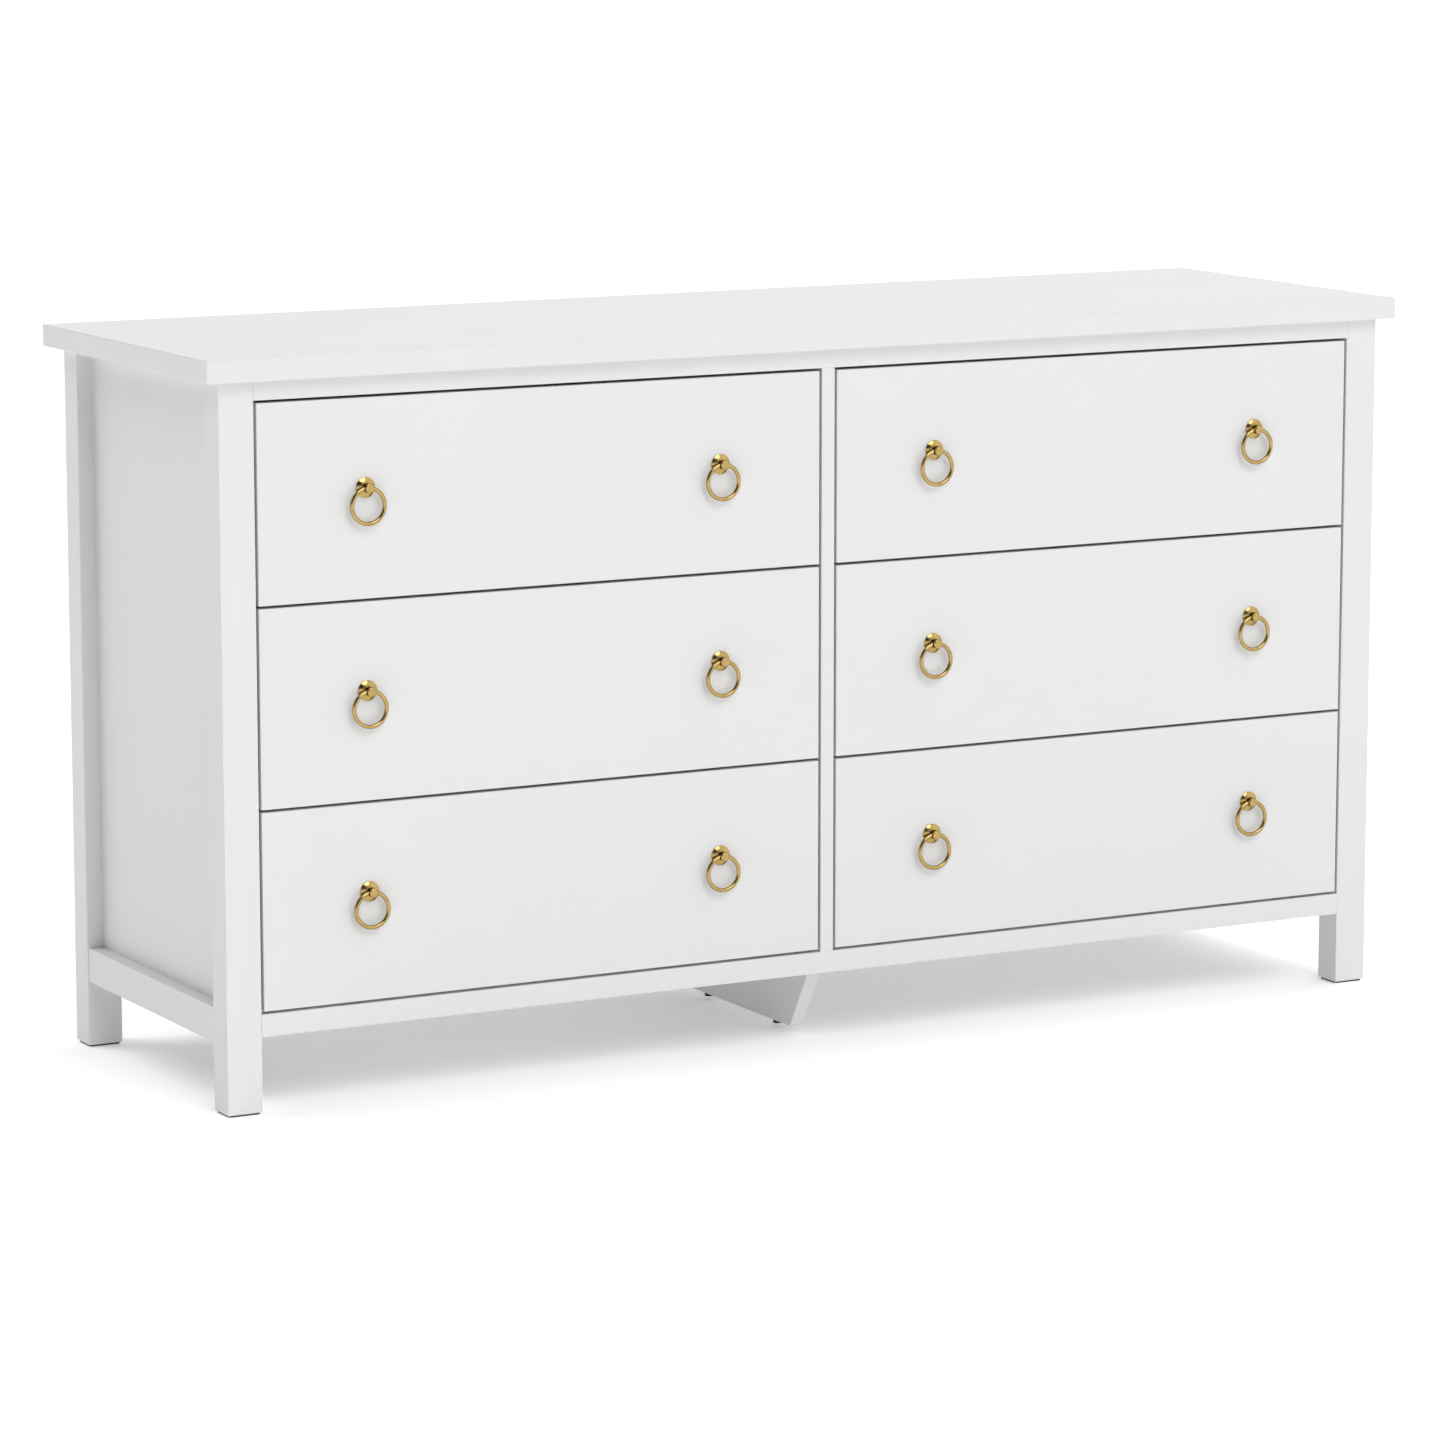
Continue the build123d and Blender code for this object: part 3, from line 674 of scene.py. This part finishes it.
# %% Runner screws
RUNNER_SCREW_INSET = 0.008
HEAD_RADIUS = 0.0035
HEAD_HEIGHT = 0.0014
SHANK_RADIUS = 0.0017
SCREW_LENGTH = 0.010
CABINET_MIDDLE_SCREWS = 0
DRAWER_MIDDLE_SCREWS = 1
ROUNDING = 5  # decimals of a metre, so that points of one face count as one place


def runner_screws(node_name, piece_name, body, inner_count):
    """Screws near both ends of each channel in a node, and some evenly spaced between them."""
    channels = welded(node_name)
    bm = bmesh.new()
    for solid in solids_of(channels):
        across = sorted({round(vert.co.x, ROUNDING) for vert in solid})
        web = across[1]
        tip = across[0] if web - across[0] > across[-1] - web else across[-1]
        y_low, y_high = extent(solid, 1)
        z_low, z_high = extent(solid, 2)
        for step in range(inner_count + 2):
            share = step / (inner_count + 1)
            y = y_low + RUNNER_SCREW_INSET + share * (y_high - y_low - 2 * RUNNER_SCREW_INSET)
            place = facing((web, y, (z_low + z_high) / 2), (math.copysign(1, tip - web), 0, 0))
            pan_head_screw(bm, place, HEAD_RADIUS, HEAD_HEIGHT, SHANK_RADIUS, SCREW_LENGTH)
    channels.free()
    return smooth_piece(bm, piece_name, body, "zinc_steel")


runner_screws("cabinet_runners", "cabinet_runner_screws", "carcass", CABINET_MIDDLE_SCREWS)
drawers = [name for name in frame["bodies"] if name.endswith("_drawer")]
for drawer in drawers:
    runner_screws(drawer + "_runners", drawer + "_runner_screws", drawer, DRAWER_MIDDLE_SCREWS)
print("Drawers with runner screws:", len(drawers))

# %% [markdown]
# ## Drawer corners
# A flat-packed drawer is joined at the front with cams: round zinc castings, let into the sides,
# that turn and pull the front tight. At the back, screws go through the sides into the end of
# the back board. Both are only seen when a drawer is open, which is just when people look. The
# sides and the back share corner points, so here the mesh can't be parted into boards. Instead,
# the points nearest the drawer's middle, on its left and its right, give the sides' inner faces.

# %% Cams and corner screws
CAM_RADIUS = 0.0075
CAM_PROUD = 0.0003
CAM_DEPTH = 0.009
CAM_SETBACK = 0.030
CAM_STEPS = 16
CAM_RIM = 0.3  # share of the proud height that stays upright below the bevel
CAM_CROSS = (0.6, 0.13, 0.4)  # shares: arm and half width of the radius, depth of the cam's
CORNER_SETBACK = 0.006
CORNER_SCREW_LENGTH = 0.030
CORNER_HEIGHTS = (0.25, 0.75)  # shares of the side's height


def cam(bm, place):
    """A cam's face: flat, with a bevelled rim and a deep cross."""
    outline = [(CAM_RADIUS * step / CAM_STEPS, CAM_PROUD) for step in range(CAM_STEPS)]
    outline += [(CAM_RADIUS, CAM_PROUD * CAM_RIM), (CAM_RADIUS, -CAM_DEPTH), (0.0, -CAM_DEPTH)]
    arm, half_width, depth = CAM_CROSS
    turned(bm, outline, place, cross(CAM_RADIUS * arm, CAM_RADIUS * half_width, CAM_DEPTH * depth))


def corner_hardware(drawer):
    """Cams on the insides of a drawer's sides, and screws on the outsides at the back."""
    low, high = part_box(drawer + "_box")
    middle = (low.x + high.x) / 2
    across = [vertex.co.x for vertex in nodes[drawer + "_box"].data.vertices]
    left_inside = max(x for x in across if x < middle)
    right_inside = min(x for x in across if x > middle)
    bm = bmesh.new()
    for outer, inner in ((low.x, left_inside), (high.x, right_inside)):
        inward = math.copysign(1, middle - inner)
        for share in CORNER_HEIGHTS:
            z = low.z + share * (high.z - low.z)
            cam(bm, facing((inner, low.y + CAM_SETBACK, z), (inward, 0, 0)))
            pan_head_screw(bm, facing((outer, high.y - CORNER_SETBACK, z), (-inward, 0, 0)),
                           HEAD_RADIUS, HEAD_HEIGHT, SHANK_RADIUS, CORNER_SCREW_LENGTH)
    return smooth_piece(bm, drawer + "_corner_hardware", drawer, "zinc_steel")


corners = [corner_hardware(drawer) for drawer in drawers]
print("Faces in each drawer's corner hardware:", [len(piece.data.polygons) for piece in corners])

# %% [markdown]
# ## The set
# Product pictures are often taken on a sheet of white plastic that is lit from below as well as
# from above, so that the floor turns pure white and shadows stay light. Our floor is a white
# sheet that also glows a little. It is far larger than the dresser, so that its edge is never
# seen.

# %% Glowing floor
FLOOR_HALF = 60.0  # metres
FLOOR_GLOW = 0.21
SHEET_MM = 300.0
SHEET_WHITES = ("#FCFCFC", "#FEFEFE")


def lit_sheet():
    material, tree, shader, places = start_material(
        "lit_acrylic_sheet", Specular_IOR_Level=0.0, Emission_Strength=FLOOR_GLOW,
        Emission_Color=linear("#FFFFFF"))
    haze = add_node(tree, "ShaderNodeTexNoise", {"Scale": cells(SHEET_MM)}, {"Vector": places})
    colour = add_node(tree, "ShaderNodeMix",
                      {"data_type": "RGBA", "A": linear(SHEET_WHITES[0]),
                       "B": linear(SHEET_WHITES[1])}, {"Factor": haze})
    feed(tree, shader, Base_Color=colour)
    return material


sheet_mesh = bpy.data.meshes.new("studio_floor")
sheet_corners = [(-FLOOR_HALF, -FLOOR_HALF, 0.0), (FLOOR_HALF, -FLOOR_HALF, 0.0),
                 (FLOOR_HALF, FLOOR_HALF, 0.0), (-FLOOR_HALF, FLOOR_HALF, 0.0)]
sheet_mesh.from_pydata(sheet_corners, [], [(0, 1, 2, 3)])
sheet_mesh.materials.append(lit_sheet())
studio_floor = bpy.data.objects.new("studio_floor", sheet_mesh)
scene.collection.objects.link(studio_floor)
studio_floor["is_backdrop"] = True
print("The floor is", 2 * FLOOR_HALF, "metres across")

# %% [markdown]
# ## Room light
# The room is a white tent that is open on the right. Most of the soft light comes in from there,
# the left stays dim, and a pale band runs all round at the horizon, which whitens the backdrop
# and puts a sheen on the flat top. A world shader can draw such a room from the direction alone,
# with no walls that could get in the way of another view.

# %% Room light
SKY_RIGHT = 1.29
SKY_ALL = 0.01
HORIZON = 1.07
BAND_FADE = (0.03, 0.18)  # heights between which the band fades into the tent
OPEN_FADE = (-0.3, 0.6)  # sideways directions between which the tent opens

world = bpy.data.worlds.new("white_tent")
scene.world = world
world.use_nodes = True
tent = world.node_tree
tent.nodes.clear()
direction = tent.nodes.new("ShaderNodeSeparateXYZ")
tent.links.new(add_node(tent, "ShaderNodeTexCoord", output="Generated"), direction.inputs[0])
above_band = add_node(tent, "ShaderNodeMapRange",
                      {"interpolation_type": "SMOOTHSTEP",
                       "From Min": BAND_FADE[0], "From Max": BAND_FADE[1]},
                      {"Value": direction.outputs["Z"]})
open_side = add_node(tent, "ShaderNodeMapRange",
                     {"interpolation_type": "SMOOTHSTEP",
                      "From Min": OPEN_FADE[0], "From Max": OPEN_FADE[1],
                      "To Min": SKY_ALL, "To Max": SKY_ALL + SKY_RIGHT},
                     {"Value": direction.outputs["X"]})
brightness = add_node(tent, "ShaderNodeMix", {"data_type": "FLOAT", "A": HORIZON},
                      {"Factor": above_band, "B": open_side})
background = add_node(tent, "ShaderNodeBackground", {"Strength": 1.0}, {"Color": brightness})
tent_output = tent.nodes.new("ShaderNodeOutputWorld")
tent.links.new(background, tent_output.inputs["Surface"])
print("The tent is drawn with", len(tent.nodes), "shader nodes")

# %% [markdown]
# ## Key and fill lights
# A soft key light from high in front brightens the drawer fronts. A fill light from behind on the
# left, a little stronger, lifts the end of the dresser that the camera sees. Suns with a wide
# angle act as far-off soft boxes: they light a long dresser evenly, where a near lamp would light
# one end more than the other.

# %% Key and fill lights
def far_soft_box(name, turn_degrees, height_degrees, strength, softness_degrees):
    """A wide sun. A turn of 0 is in front of the dresser, and positive turns go to the right."""
    turn, height = math.radians(turn_degrees), math.radians(height_degrees)
    towards = Vector((math.sin(turn) * math.cos(height), -math.cos(turn) * math.cos(height),
                      math.sin(height)))
    data = bpy.data.lights.new(name, "SUN")
    data.energy = strength
    data.angle = math.radians(softness_degrees)
    light = bpy.data.objects.new(name, data)
    light.rotation_euler = (-towards).to_track_quat("-Z", "Y").to_euler()
    scene.collection.objects.link(light)


far_soft_box("key_light", turn_degrees=0, height_degrees=45, strength=1.09, softness_degrees=35)
far_soft_box("fill_light", turn_degrees=-135, height_degrees=50, strength=1.29,
             softness_degrees=35)
scene.view_settings.view_transform = "Standard"

# %% [markdown]
# ## Check the size and finish
# Dressing the model must not change its size. We measure the box of everything visible and
# print its size, to set beside the CAD size that was printed at the start.

# %% The finished size
visual_low, visual_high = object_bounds()
finished_size = Vector(visual_high) - Vector(visual_low)
print("Size of the finished dresser:", [round(side, 4) for side in finished_size])
